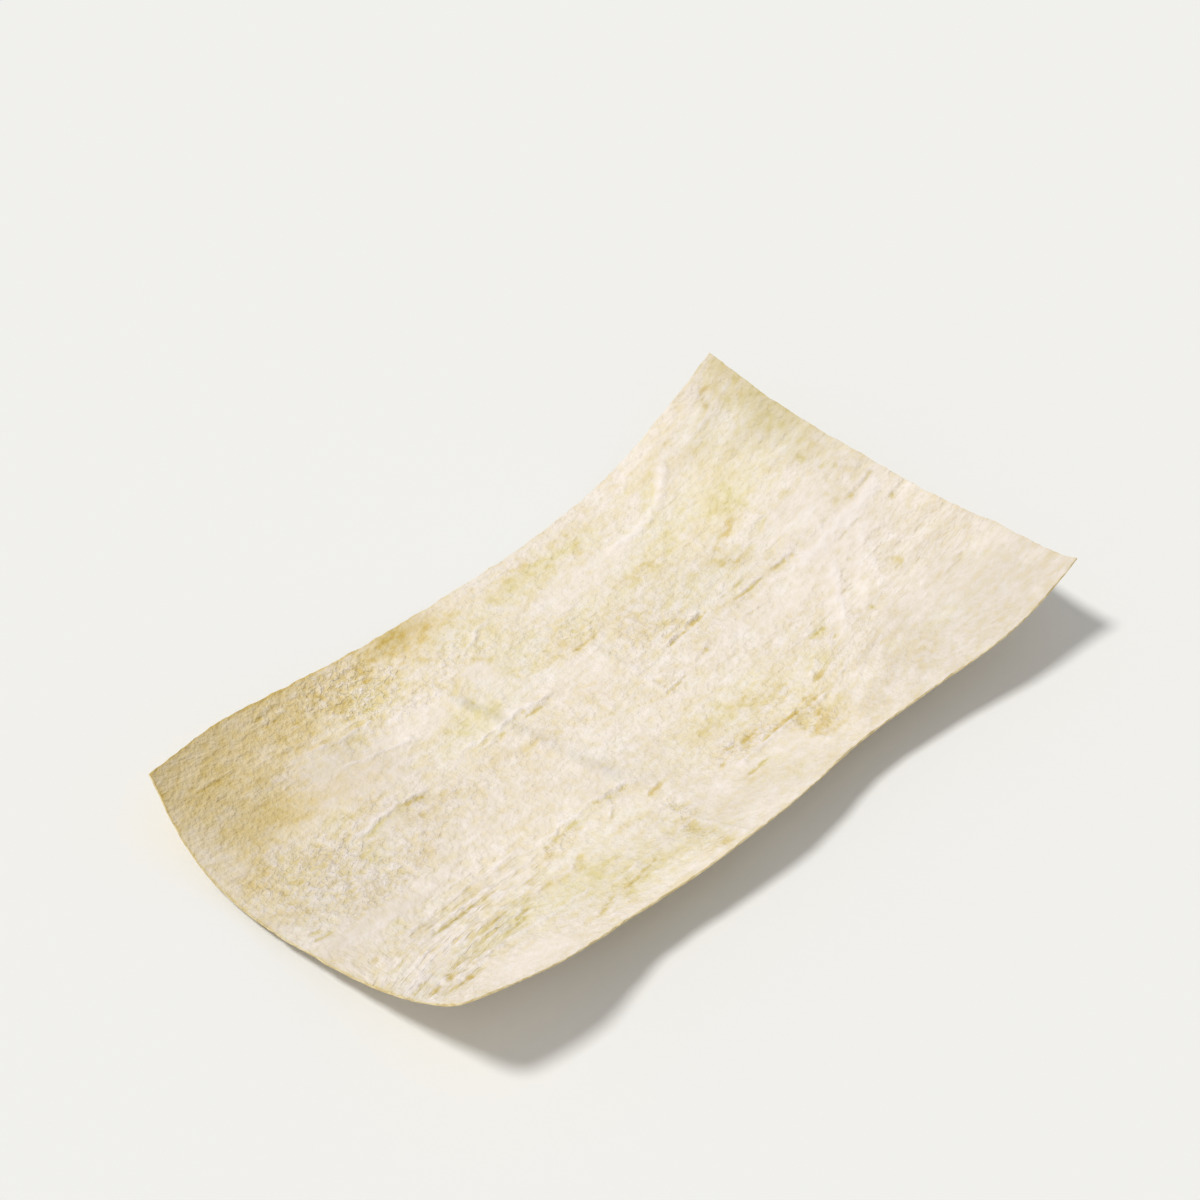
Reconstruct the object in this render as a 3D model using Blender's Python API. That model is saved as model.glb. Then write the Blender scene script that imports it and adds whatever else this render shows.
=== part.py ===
"""One sheet of dried kelp, shaved thin and cut to a rectangle, lying on the flat of its middle.

Metres, +Z up. X runs along the sheet and Y across it, from the near side to the far one. The sheet
rests on z = 0, and the origin is the middle of its footprint. As it dried, its near side rolled up
over the whole length, its two far corners curled on their own, and the near left corner curled
further than the side that it is part of.
"""

import math

import bmesh
import bpy
from mathutils import Matrix, Vector

MM = 0.001

NODE = "kelp_sheet"

# The sheet as it was cut, before it dried
LENGTH = 208 * MM
WIDTH = 122 * MM
THICKNESS = 0.4 * MM

# Even cells over the sheet, each split into two triangles
CELLS_ALONG = 60
CELLS_ACROSS = 30

# How far each cut side strays outward, in millimetres, at even stations along it: the long sides
# from left to right, and the ends from the near side to the far one
FAR_STRAY = (-3.5, -0.5, -0.5, -1.5, -2.0, -2.5, -1.0, 1.0, 1.5)
NEAR_STRAY = (-3.0, 0.0, -2.5, -0.5, 0.0, -3.5, -2.0, 1.5, 0.5)
LEFT_STRAY = (-0.5, 0.5, 2.0, 2.0, -0.5)
RIGHT_STRAY = (-1.0, 2.0, -0.5, -2.5, -2.5)

# Rounding of each corner, by which way it lies from the middle: along, then across
CORNER_RADII = {
    (-1, 1): 1.5 * MM,
    (1, 1): 1.0 * MM,
    (1, -1): 1.5 * MM,
    (-1, -1): 9.0 * MM,
}

# Each curl: the way it faces, in degrees from +X, its distance from the middle, and its radius
CURLS = {
    "far left corner": (114, 53 * MM, 50 * MM),
    "far right corner": (9, 50 * MM, 90 * MM),
    "near left corner": (-144, 50 * MM, 160 * MM),
    "near side": (-90, 10 * MM, 90 * MM),
}

# The patch that touches the table, and the slow ripple that lifts the rest of the flat off it
REST_MIDDLE = (-4 * MM, 9 * MM)
REST_HALF_LENGTH = 34 * MM
REST_HALF_WIDTH = 15 * MM
RIPPLE_FADE = 1.9
RIPPLE_HEIGHT = 0.9 * MM
RIPPLE_LENGTH = 58 * MM
RIPPLE_WIDTH = 47 * MM
RIPPLE_SLANT = 35

SHEET_COLOUR = (0.76, 0.67, 0.49, 1.0)
SHEET_ROUGHNESS = 0.72
SHARP_ANGLE = 40


def clear_scene():
    for item in list(bpy.data.objects):
        bpy.data.objects.remove(item, do_unlink=True)


def stray(stations, share):
    """How far a side strays outward at a share of its way, on a smooth curve through its stations."""
    spans = len(stations) - 1
    first = min(int(share * spans), spans - 1)
    step = share * spans - first
    before = stations[max(first - 1, 0)]
    start = stations[first]
    end = stations[first + 1]
    after = stations[min(first + 2, spans)]
    bend = 2 * before - 5 * start + 4 * end - after
    twist = 3 * (start - end) + after - before
    return (start + 0.5 * step * (end - before + step * (bend + step * twist))) * MM


def rounded(u, v):
    """Bring a point of a corner's square in, so that the square becomes a quarter of a disc."""
    side = (1 if u > 0 else -1, 1 if v > 0 else -1)
    radius = CORNER_RADII[side]
    centre_u = side[0] * (LENGTH / 2 - radius)
    centre_v = side[1] * (WIDTH / 2 - radius)
    along = (u - centre_u) * side[0] / radius
    across = (v - centre_v) * side[1] / radius
    if along <= 0 or across <= 0:
        return u, v
    pulled_u = centre_u + side[0] * radius * along * math.sqrt(max(1 - across * across / 2, 0))
    pulled_v = centre_v + side[1] * radius * across * math.sqrt(max(1 - along * along / 2, 0))
    return pulled_u, pulled_v


def cut_point(along, across):
    """A point of the cut sheet laid out flat, from its place between the sides (-1 to 1 each way)."""
    if along > 0:
        end_stray = stray(RIGHT_STRAY, (across + 1) / 2)
    else:
        end_stray = -stray(LEFT_STRAY, (across + 1) / 2)
    if across > 0:
        side_stray = stray(FAR_STRAY, (along + 1) / 2)
    else:
        side_stray = -stray(NEAR_STRAY, (along + 1) / 2)
    u = along * LENGTH / 2 + end_stray * along * along
    v = across * WIDTH / 2 + side_stray * across * across
    return rounded(u, v)


def ripple(u, v):
    """Height of the slow ripple, which dies out on the patch that touches the table."""
    reach = math.hypot((u - REST_MIDDLE[0]) / REST_HALF_LENGTH, (v - REST_MIDDLE[1]) / REST_HALF_WIDTH)
    fade = min(max((reach - 1) / (RIPPLE_FADE - 1), 0), 1)
    fade = fade * fade * (3 - 2 * fade)
    slant = math.radians(RIPPLE_SLANT)
    first = math.sin(2 * math.pi * (u * math.cos(slant) + v * math.sin(slant)) / RIPPLE_LENGTH)
    second = math.cos(2 * math.pi * (v * math.cos(slant) - u * math.sin(slant)) / RIPPLE_WIDTH)
    return RIPPLE_HEIGHT * fade * (2 + first + second) / 4


def curled(u, v):
    """Roll a point of the flat sheet up each curl that it lies on, keeping lengths as they were."""
    place = Vector((u, v, ripple(u, v)))
    for facing, start, radius in CURLS.values():
        way = Vector((math.cos(math.radians(facing)), math.sin(math.radians(facing)), 0))
        past = u * way.x + v * way.y - start
        if past > 0:
            turn = past / radius
            place += way * (radius * math.sin(turn) - past)
            place.z += radius * (1 - math.cos(turn))
    return place


def sheet_material():
    material = bpy.data.materials.new("dried_kelp")
    material.use_nodes = True
    shader = material.node_tree.nodes["Principled BSDF"]
    shader.inputs["Base Color"].default_value = SHEET_COLOUR
    shader.inputs["Roughness"].default_value = SHEET_ROUGHNESS
    shader.inputs["Metallic"].default_value = 0.0
    return material


def underside():
    """The sheet's lower face as a mesh: a grid, cut to outline, curled and split into triangles."""
    bm = bmesh.new()
    bmesh.ops.create_grid(bm, x_segments=CELLS_ALONG, y_segments=CELLS_ACROSS, size=1)
    for vert in bm.verts:
        vert.co = curled(*cut_point(vert.co.x, vert.co.y))
    bmesh.ops.triangulate(bm, faces=bm.faces, quad_method="FIXED")
    mesh = bpy.data.meshes.new(NODE)
    bm.to_mesh(mesh)
    bm.free()
    return mesh


def centre_on_origin(sheet):
    """Shift the sheet so that the middle of the finished solid's footprint is the origin."""
    solid = sheet.evaluated_get(bpy.context.evaluated_depsgraph_get())
    xs = [corner[0] for corner in solid.bound_box]
    ys = [corner[1] for corner in solid.bound_box]
    middle = Vector((min(xs) + max(xs), min(ys) + max(ys), 0)) / 2
    sheet.data.transform(Matrix.Translation(-middle))


def make_sheet():
    """The thin solid: the lower face with an upper one a thickness above it and a rim between."""
    mesh = underside()
    sheet = bpy.data.objects.new(NODE, mesh)
    bpy.context.scene.collection.objects.link(sheet)
    mesh.materials.append(sheet_material())
    solidify = sheet.modifiers.new("thickness", "SOLIDIFY")
    solidify.thickness = THICKNESS
    solidify.offset = 1
    centre_on_origin(sheet)
    mesh.shade_smooth()
    mesh.set_sharp_from_angle(angle=math.radians(SHARP_ANGLE))
    return sheet


def main():
    clear_scene()
    make_sheet()


main()
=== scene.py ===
"""The looks of one sheet of dried kelp: its fine relief, fibres, stains and tears, on a plain pale floor.

The sheet is made again here from the named sizes that its solid has, on a much finer grid, with the
relief of its surface worked into the mesh. Sizes and places are in millimetres on the sheet as it was
cut and laid out flat, u along it and v across it from the near side to the far one. The mesh is in
metres, +Z up, X along the sheet.
"""

import math
from types import SimpleNamespace

import bpy
import numpy as np
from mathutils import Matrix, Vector, noise


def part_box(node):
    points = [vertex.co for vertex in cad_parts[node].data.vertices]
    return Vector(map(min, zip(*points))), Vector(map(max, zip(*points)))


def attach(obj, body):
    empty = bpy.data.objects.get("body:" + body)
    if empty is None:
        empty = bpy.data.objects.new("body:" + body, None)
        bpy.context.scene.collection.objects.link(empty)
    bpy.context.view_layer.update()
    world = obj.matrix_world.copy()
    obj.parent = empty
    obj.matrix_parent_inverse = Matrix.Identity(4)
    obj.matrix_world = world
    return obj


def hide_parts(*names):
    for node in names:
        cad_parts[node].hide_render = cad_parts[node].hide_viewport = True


MM = 0.001
NODE = "kelp_sheet"
PLACE = "cut_place"

# The sheet as it was cut, and how its sides stray from straight, as in its solid
LENGTH = 208
WIDTH = 122
THICKNESS = 0.4
FAR_STRAY = (-3.5, -0.5, -0.5, -1.5, -2.0, -2.5, -1.0, 1.0, 1.5)
NEAR_STRAY = (-3.0, 0.0, -2.5, -0.5, 0.0, -3.5, -2.0, 1.5, 0.5)
LEFT_STRAY = (-0.5, 0.5, 2.0, 2.0, -0.5)
RIGHT_STRAY = (-1.0, 2.0, -0.5, -2.5, -2.5)
CORNER_RADII = {(-1, 1): 1.5, (1, 1): 1.0, (1, -1): 1.5, (-1, -1): 9.0}

# Each curl: the way it faces in degrees from +X, its distance from the middle, and its radius
CURLS = {
    "far left corner": (114, 53, 50),
    "far right corner": (9, 50, 90),
    "near left corner": (-144, 50, 160),
    "near side": (-90, 10, 90),
}

# The patch that touches the table, and the slow ripple round it
REST_MIDDLE = (-4, 9)
REST_HALF = (34, 15)
RIPPLE_FADE = 1.9
RIPPLE_HEIGHT = 0.9
RIPPLE_GRAIN = (58, 47)
RIPPLE_SLANT = 35

# The fine grid of the upper face, how many of its cells one cell of the lower face spans, the angle in
# degrees from which an edge shades sharp, and the ragged trim of the sides, which grows toward them by a
# power of the share of the way out
CELLS_ALONG = 320
CELLS_ACROSS = 280
LOWER_STEP = 4
SHARP_ANGLE = 60
TRIM_RAGGED = 0.3
TRIM_GRAIN_U = (4, 4, 3.1, 4)
TRIM_GRAIN_V = (4, 4, 7.7, 4)
TRIM_POWER = 8

# The fibres run along the sheet. Near the near side they drop toward the left end and rise on the right
FIBRE_BEND_FROM = -6
FIBRE_BEND_REACH = 30
FIBRE_DROP = 10
FIBRE_DROP_FROM = -55
FIBRE_DROP_RUN = 45
FIBRE_RISE = 14
FIBRE_RISE_FROM = 28
FIBRE_RISE_RUN = 50

# Soft folds that lift the whole sheet: from, to, height, and how far they reach to each side
FOLDS = (
    (-26, 33, -22, 19, 0.55, 15, 2.2),
    (-22, 19, -18, -2, 0.55, 15, 2.3),
    (-18, -2, -13, -21, 0.45, 15, 2.6),
    (40, 41, 54, 41.2, 0.3, 1.2, 3),
    (54, 41.2, 62, 45, 0.35, 1.2, 3),
    (62, 45, 69, 51, 0.4, 1.4, 3),
    (-106, -7, -70, -8, 0.45, 4, 3),
    (62, 20.8, 73, 21.5, 0.25, 1.5, 3),
    (12.5, 21, 12.5, 7, 0.2, 1.5, 1.5),
    (-97, -53, -81, -43, 0.3, 1.6, 4),
    (-81, -43, -70, -41, 0.25, 1.6, 4),
)

# Soft golden washes: u, v, half length, half width, slant in degrees, strength
GOLDEN_WASH = (
    (-84, 54, 30, 11, 0, 0.66),
    (-86, 40, 13, 11, 0, 0.5),
    (-84, 34, 10, 6, 10, 0.55),
    (-77, 31, 8, 5, -8, 0.3),
    # Partly painted shade on the curled-up left end
    (-101, 34, 8, 24, 0, 0.3),
    (-64, 46, 8, 5, 0, 0.2),
    (-60, 54, 14, 6, 0, 0.1),
    (-43, 50, 14, 9, 0, 0.2),
    (-20, 57, 14, 5, -5, 0.7),
    (-66, 60.8, 44, 1.1, 0, 0.7),
    (-70, 28, 14, 8, 0, 0.22),
    (-56, 32, 16, 8, 0, 0.14),
    (-42, 4, 22, 12, 0, 0.12),
    (-88, -14, 14, 8, 0, 0.06),
    (8, -46, 16, 9, 0, 0.1),
    (-92, 18, 14, 6, 0, 0.15),
    # Partly painted shade on the curled-up right end
    (101, 42, 7, 20, 0, 0.25),
    (60, 30, 10, 6, 0, 0.12),
    (16, 52, 18, 5, 0, 0.12),
    (30, -42, 8, 8, 0, 0.18),
    (20, -31, 18, 4, 0, 0.12),
)

# Soft olive and yellow-green washes, in the same terms
HAZE_WASH = (
    # The first row, on the curled-up right end, is partly painted shade
    (101, 42, 8, 22, 0, 0.55),
    (86, 50, 12, 6, 0, 0.3),
    (-17, 30, 11, 7, 0, 0.35),
    (-12, 48, 10, 7, 0, 0.3),
    (30, -34, 16, 8, 0, 0.2),
    (36, 30, 16, 6, 0, 0.3),
    (80, 36, 20, 10, 0, 0.35),
    (60, 34, 26, 9, 0, 0.3),
    (-88, 10, 18, 16, 0, 0.15),
    (-30, 22, 14, 6, 0, 0.35),
    (-60, -32, 36, 9, 6, 0.35),
    (20, -20, 24, 7, 0, 0.3),
    (4, 28, 16, 6, 0, 0.2),
    (40, 14, 26, 7, 0, 0.2),
    (-30, -46, 20, 9, 0, 0.3),
    (-40, 48, 16, 10, 0, 0.2),
    (20, 50, 24, 4, 0, 0.25),
)

# Golden stains with ragged edges, in the same terms
GOLDEN = (
    (-86, 48, 10, 2, 0, 0.1),
    (-63, 44.5, 5, 2.4, 0, 0.2),
    (-50, 47, 4, 5, 40, 0.2),
    (-46, 56, 5, 3, 0, 0.2),
    (-22, 56.5, 5, 2.4, 0, 0.55),
    (-44, 20.5, 3, 2.5, 0, 0.35),
    (-35, 52, 2.6, 1.1, 35, 0.5),
    (-31, 55.5, 5, 3, 20, 0.45),
    (-14, 53, 2.6, 1.6, 30, 0.5),
    (-21, 48, 5, 5, 0, 0.35),
    (-22.5, 30.5, 2.6, 4, 0, 0.4),
    (-11, 36, 2.4, 1, -40, 0.5),
    (-9, 50, 8, 4, 0, 0.3),
    (1, 25, 5, 2, 0, 0.2),
    (9, 28, 9, 5, 0, 0.14),
    (7.5, 26, 1.2, 3.2, 0, 0.35),
    (13, 22.7, 6, 1, 4, 0.45),
    (24, 24, 6, 1.3, 4, 0.35),
    (38, 30.5, 7, 2, 0, 0.45),
    (19, 54, 5, 2.2, 0, 0.35),
    (33, 53.5, 5, 2, 0, 0.3),
    (33, 47, 3.4, 1.8, 35, 0.4),
    (64.4, 24, 3.6, 1.4, 20, 0.85),
    (61, 22.4, 3, 1.6, 20, 0.4),
    (57, 17, 3, 1.4, -40, 0.3),
    (60.5, 14.6, 3, 1.4, -10, 0.25),
    (84, -16.5, 2.2, 1.8, 0, 0.3),
    (92, 57.4, 2, 1.2, 10, 0.8),
    (89.6, 54.2, 1.6, 1.1, 40, 0.75),
    (2, 10, 3.5, 6, 0, 0.4),
    (29, 16, 12, 6, 0, 0.28),
    (33.5, 8.3, 7.5, 0.7, 7, 0.5),
    (-96.5, -19.2, 1.8, 0.9, 15, 0.6),
    (-88, -30.5, 8, 3, 15, 0.22),
    (-72, -29, 8, 3, 14, 0.25),
    (-66.5, -27.6, 3, 0.9, 8, 0.5),
    (-63, -31.8, 3.2, 1, 6, 0.5),
    (-83, -35, 7, 1.6, 10, 0.3),
    (-91.5, -38.7, 2.4, 1.2, 45, 0.6),
    (-98, -41.3, 3.5, 1.6, 20, 0.75),
    (-94.5, -44, 6.5, 1.3, 8, 0.5),
    (-70, -40.3, 4, 1.2, -5, 0.3),
    (-53, -25.3, 1.4, 1.2, 0, 0.6),
    (-56, -28, 5, 1.6, 0, 0.3),
    (-46, -29.8, 7, 2, 0, 0.4),
    (-40, -28, 1.6, 1.2, 0, 0.5),
    (-27, -28.7, 3, 1, 0, 0.45),
    (-37, -20, 5, 2, 0, 0.3),
    (-44.5, -22, 1.6, 1.2, 45, 0.45),
    (-50, -47.8, 4.6, 1.2, 24, 0.3),
    (-39, -46, 4, 2, 0, 0.25),
    (-33, -44.5, 5, 1.4, 5, 0.25),
    (-30, -47, 8, 2, 0, 0.2),
    (-37, -52, 1.6, 1.1, 0, 0.4),
    (-44, -50, 2, 5, -30, 0.35),
    (-17, -42.5, 2.2, 4, 0, 0.4),
    (-19, -57, 2.6, 3.4, 0, 0.4),
    (-12, -25, 2.4, 1, 5, 0.75),
    (4.4, -31.4, 1.8, 1, 0, 0.75),
    (6, -42, 4, 2.6, 0, 0.35),
    (10.5, -28.6, 2, 0.9, 0, 0.45),
    (16.5, -29.4, 3, 1.2, 0, 0.35),
    (24, -33.4, 7, 1, 0, 0.2),
    (34.5, -31.7, 2.2, 1.2, -8, 0.4),
    (38.5, -33, 3.4, 0.8, 4, 0.25),
    (33.5, -36, 4, 1.6, 56, 0.5),
    (29.5, -41, 5, 1.8, 52, 0.4),
    (27, -45, 2.4, 2, 0, 0.45),
    (28, -23, 5, 4, -35, 0.3),
    (17, -20, 10, 4, 0, 0.3),
    (43, -28, 1.8, 1, 20, 0.5),
)

# Olive and yellow-green stains with ragged edges, in the same terms
HAZE = (
    (72, 30, 7, 4, 0, 0.5),
    (50, 37, 10, 3.4, 0, 0.4),
    (60, 47, 6, 2.4, 35, 0.6),
    (60, 53, 10, 3, 0, 0.3),
    (36, 48, 6, 6, 0, 0.4),
    (20, 50.5, 16, 2, 0, 0.5),
    (16, 46, 10, 4, 0, 0.4),
    (5, 28, 12, 6, 0, 0.15),
    (16, 28, 6, 5, 0, 0.3),
    (-4, 40, 9, 9, 0, 0.4),
    (-26, 22, 7, 5, 0, 0.5),
    (-40, 46, 10, 7, 0, 0.4),
    (-56, 38, 10, 5, 0, 0.35),
    (-60, 52, 10, 8, 0, 0.25),
    (-70, 22, 5, 3, 0, 0.5),
    (-92, 18, 10, 5, 0, 0.3),
    (-72, 8, 3, 3, 0, 0.6),
    (-64, 14, 6, 1.6, 0, 0.4),
    (-84, -11.5, 2, 1.6, 0, 0.6),
    (-78, -18, 14, 5, 5, 0.3),
    (-47, -35.5, 10, 5, 0, 0.55),
    (-70, -32, 14, 4, 12, 0.4),
    (-38, -46, 14, 7, 0, 0.35),
    (-30, -18.5, 12, 2, 0, 0.4),
    (-13, -34.5, 1.6, 3.6, 0, 0.75),
    (-17, -50, 4, 12, 0, 0.4),
    (10, -47, 14, 8, 0, 0.3),
    (8, -39.6, 6, 0.9, 0, 0.6),
    (22, -18, 16, 6, 0, 0.2),
    (46, -24, 6, 3, 10, 0.5),
    (55.5, -16.2, 3.2, 1.6, -8, 0.6),
    (60, -20, 5, 1.4, 30, 0.5),
    (70, -20.9, 1.4, 1, 0, 0.8),
    (74, -17, 2.4, 1.4, 0, 0.3),
    (76, -12.6, 2, 1.4, 0, 0.3),
    (62, -35, 3, 3, 0, 0.35),
    (76, -40, 9, 3, 0, 0.35),
    (32, -38, 7, 9, -40, 0.35),
    (48, 18, 14, 4, 0, 0.3),
    (72, 18.8, 2, 1, 0, 0.5),
    (92.5, 23, 1, 2, 0, 0.6),
    (94.5, 17, 1.2, 1, 0, 0.6),
    (96, 14.3, 1.2, 0.9, -30, 0.5),
    (88.5, 9, 1, 3, -8, 0.4),
    (82, 19.5, 2.2, 1.4, 0, 0.4),
    (34, 3, 5, 1, -20, 0.4),
    (5, 0, 8, 4, 0, 0.25),
)

# Where the skin is darker, in the same terms: partly duller skin, and partly painted shade where the
# curled ends and the near right corner turn from the light. Where a strength is above 1, a patch that
# overlaps takes some of it away
DULL_AND_SHADE = (
    # Painted shade: the near right corner curls up away from the light
    (86, -46, 30, 20, 0, 1.45),
    (62, -50, 22, 12, 0, 0.7),
    (-92, 6, 22, 18, 0, 0.8),
    # Painted shade: the left end curls up away from the light
    (-100, 26, 8, 26, 0, 0.65),
    (-90, -14, 16, 8, 0, 0.35),
    (-74, 22, 26, 14, 0, 0.6),
    (-70, 2, 24, 14, 0, 0.4),
    (-12, -44, 12, 16, 0, 0.7),
    (-12, -14, 14, 9, 0, 0.45),
    (4, -52, 16, 8, 0, 0.4),
    (-40, 4, 20, 14, 0, 0.3),
    (-60, 33, 15, 8, 0, 1.15),
    (-42, -38, 20, 12, 0, 0.45),
    (86, 50, 14, 7, 0, 0.75),
    (10, -46, 18, 12, 0, 0.4),
    (62, -2, 40, 14, 0, 0.3),
    (86, 6, 18, 14, 0, 0.55),
    (62, 16, 12, 7, 0, 0.3),
    (-86, 34, 14, 9, 0, 2.05),
    (92, 57.4, 2.6, 1.4, 10, 2.4),
    (89.6, 54.2, 1.8, 1.2, 40, 1.5),
    # Painted shade: the far left corner curls up away from the light
    (-84, 50, 28, 12, 0, 0.3),
    (14, -28, 18, 8, 0, 0.3),
    (86, -30, 14, 8, 0, 0.55),
    (-20, 57, 12, 3, 0, 1.1),
    # Painted shade on the curled-up right end
    (101, 40, 11, 24, 0, 1.95),
    (92, 10, 16, 40, 0, 0.3),
    (40, 18, 18, 9, 0, 0.3),
)

# Pale smooth skin, which keeps the stains off, in the same terms
SMOOTH = (
    (-78, -51, 14, 7, 8, 0.9),
    (-1, -46, 12, 13, 0, 0.4),
    (19, -44, 6, 8, 0, 0.6),
    (-58, 30, 16, 9, -10, 0.4),
    (-63, 37, 5, 5, 0, 0.5),
    (-36, 32, 14, 3.5, -5, 0.6),
    (30, 39, 22, 5, 0, 0.5),
    (-14, 31, 4, 6, 0, 0.8),
    (4, 14.5, 8, 6, 0, 0.5),
    (80, 13, 9, 6, 0, 0.6),
    (84, 2, 18, 2.2, 0, 0.9),
    (77, -10, 13, 2.6, 55, 0.8),
    (66, -12, 15, 2.4, 52, 0.6),
    (-20, 18, 8, 2, 0, 0.6),
    (-22, -14, 8, 2, 0, 0.4),
    (46, 41.5, 8, 1.6, 0, 0.6),
    (65, 48, 6, 1.6, 40, 0.6),
    (62, -2, 30, 5, 0, 0.6),
    (80, -28, 10, 8, 0, 0.4),
    (-30, -2, 30, 6, 0, 0.3),
    (-86, -8.5, 20, 3, 0, 0.7),
)

# Tears in the skin along the fibres: from u, v to u, v, width, strength
TEARS = (
    (26, 7.4, 34, 8.1, 0.5, 1.5),
    (33, 8.2, 41, 9.5, 0.55, 1.5),
    (13, -4.2, 22, -2.9, 0.45, 0.6),
    (26, -1.6, 32, -0.4, 0.4, 0.5),
    (31, -0.4, 35.5, 0.5, 0.6, 0.75),
    (46, 9.8, 49, 10, 0.5, 0.5),
    (52, 9.9, 57, 10.3, 0.7, 0.5),
    (49, 6.8, 60, 6.8, 0.5, 0.7),
    (63, 6.7, 67, 6.2, 0.6, 0.6),
    (66, 6.2, 70, 5.3, 0.6, 0.8),
    (81, 5.8, 85, 6.3, 0.5, 0.45),
    (91, 5.1, 101, 5.0, 0.5, 0.55),
    (46, 0.4, 52, 0.5, 0.4, 0.4),
    (79, -0.5, 88, -0.6, 0.5, 0.35),
    (97, -3.4, 102, -3.6, 0.7, 0.55),
    (8, 22.4, 16, 22.6, 0.5, 0.4),
    (-95, 48, -82, 47.8, 0.35, 0.35),
    (-104, 48.4, -96, 48, 0.35, 0.25),
    (-68, 56.6, -61, 57.4, 0.5, 0.5),
    (-67, 54.0, -60, 54.6, 0.5, 0.5),
    (-70, 46.6, -60, 44.2, 0.5, 0.4),
    (-57, 14.3, -53, 13.5, 0.8, 0.8),
    (-53, 13.5, -49.5, 13.0, 0.7, 0.85),
    (-60, 14.4, -57.6, 14.4, 0.8, 0.5),
    (-73, 13.6, -61, 14.3, 0.5, 0.45),
    (-31, 14.1, -23, 14.9, 0.6, 0.65),
    (-30, 16.5, -26, 16.8, 0.5, 0.45),
    (-23, 14.4, -20, 14.2, 0.5, 0.6),
    (-18.5, 15.6, -15, 16.3, 0.8, 0.75),
    (-17, 14.8, -9, 14.1, 0.6, 0.75),
    (-13, 15.4, -8, 15.1, 0.5, 0.5),
    (-81, -21.3, -75, -20.8, 0.6, 0.65),
    (-76, -20.7, -67, -20.2, 0.5, 0.75),
    (-67, -20.2, -60, -20.0, 0.4, 0.35),
    (-95, -25.2, -92, -23.6, 0.6, 0.5),
    (-73, -29.6, -66, -28.0, 0.6, 0.5),
    (-66, -32.2, -60, -31.2, 0.7, 0.7),
    (-73, -35.2, -62, -33.2, 0.5, 0.5),
    (-88, -36.4, -78, -34, 0.6, 0.5),
    (-102, -38.2, -95, -35.4, 0.5, 0.55),
    (-100, -42.4, -95, -40.2, 0.7, 0.6),
    (-93, -40.2, -90, -37.4, 0.8, 0.75),
    (-101, -45, -94, -44.4, 0.6, 0.55),
    (-95, -44.4, -88, -43.2, 0.7, 0.75),
    (-89, -39.6, -82, -39, 0.5, 0.4),
    (-54, -49.2, -50, -47.8, 0.7, 0.5),
    (-50, -47.6, -46, -45.8, 0.5, 0.45),
    (-41, -46.2, -37, -45.6, 0.6, 0.5),
    (-36, -44.8, -30, -44.2, 0.5, 0.5),
    (-42, -19.4, -31, -18.4, 0.6, 0.6),
    (-25, -17.3, -21, -18.4, 0.5, 0.6),
    (-21, -18.8, -15, -18.6, 0.7, 0.75),
    (-26, -24.2, -23.6, -23.2, 0.5, 0.5),
    (-14, -25.2, -9.5, -24.8, 0.6, 0.6),
    (3, -31.8, 6, -31.2, 0.7, 0.6),
    (9, -28.8, 12, -28.4, 0.6, 0.65),
    (13, -29.8, 19, -29.2, 0.7, 0.6),
    (16, -33.8, 19.5, -33.8, 0.7, 0.7),
    (20, -33.8, 23.5, -33.2, 0.7, 0.65),
    (25, -33.2, 29.6, -33.6, 0.8, 0.7),
    (30, -33.9, 41, -33.0, 0.5, 0.55),
    (33, -31.6, 36, -31.8, 0.7, 0.6),
    (3, -40.2, 14, -39.4, 0.5, 0.5),
    (52, -15.8, 57, -16.6, 0.7, 0.65),
    (50, -22, 58, -20.2, 0.5, 0.35),
    (45, -16, 63, -14, 0.35, 0.35),
    (88, -30.2, 98, -29.2, 0.4, 0.3),
    (53.4, -15.6, 57.6, -16.6, 0.7, 0.6),
    (69, -21.2, 70.8, -20.8, 0.8, 0.7),
    (77.2, -6.4, 78.2, -6.2, 0.6, 0.5),
    (87.2, 7.3, 89.4, 7.2, 0.8, 0.5),
    (98, -3.8, 100.4, -3.4, 0.8, 0.7),
    (72, 18.8, 74, 18.9, 0.7, 0.5),
    (93.6, 17, 94.8, 17, 0.7, 0.45),
    (92.3, 22, 92.7, 24, 0.7, 0.45),
    (95.6, 14.5, 96.6, 14, 0.6, 0.5),
    (75, -12.8, 76.4, -12.8, 0.8, 0.4),
    (71.5, -17.3, 73.5, -17.7, 0.8, 0.35),
    (41.4, -28.6, 43.4, -27.8, 0.9, 0.6),
    (55.4, 18, 57, 16.4, 1.1, 0.4),
    (57, 16.4, 61, 14.6, 1.0, 0.4),
    (82, 19.2, 84, 19.6, 0.9, 0.35),
    (88.2, 11.6, 88.9, 9.6, 0.6, 0.35),
    (-103, -4.0, -97, -4.6, 0.5, 0.6),
    (-101, -1.6, -98, -2.1, 0.7, 0.65),
    (-87, 7.8, -83.6, 7.4, 0.5, 0.6),
)

# Painted shade along the flanks of folds and creases, as dark lines: from u, v to u, v, width, strength
CREASE_SHADE_LINES = (
    (-24, 30, -22.4, 24, 1.4, 1.4),
    (-22.4, 24, -17.4, 0, 1.8, 0.85),
    (-17.4, 0, -14, -16, 2.2, 0.8),
    (-15, -19, -5, -24, 2, 0.3),
    (13.6, 20, 13.8, 9, 0.5, 0.5),
    (-106, -3.4, -98, -4.9, 0.6, 0.5),
    (-82, -21.6, -66, -20.8, 0.5, 0.8),
    (-70, 13.2, -50, 12.8, 0.5, 0.6),
    (-42, -19.6, -16, -19.2, 0.5, 0.5),
    (-84, -33.2, -66, -30.6, 0.5, 0.4),
    (-84, -39.6, -72, -38, 0.5, 0.5),
    (-72, -38, -46, -39.6, 0.5, 0.4),
    (10, -35.6, 40, -35.4, 0.5, 0.4),
    (54, 40.2, 62, 43.6, 0.6, 0.2),
    (62, 43.6, 69, 49.6, 0.6, 0.25),
)

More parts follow.
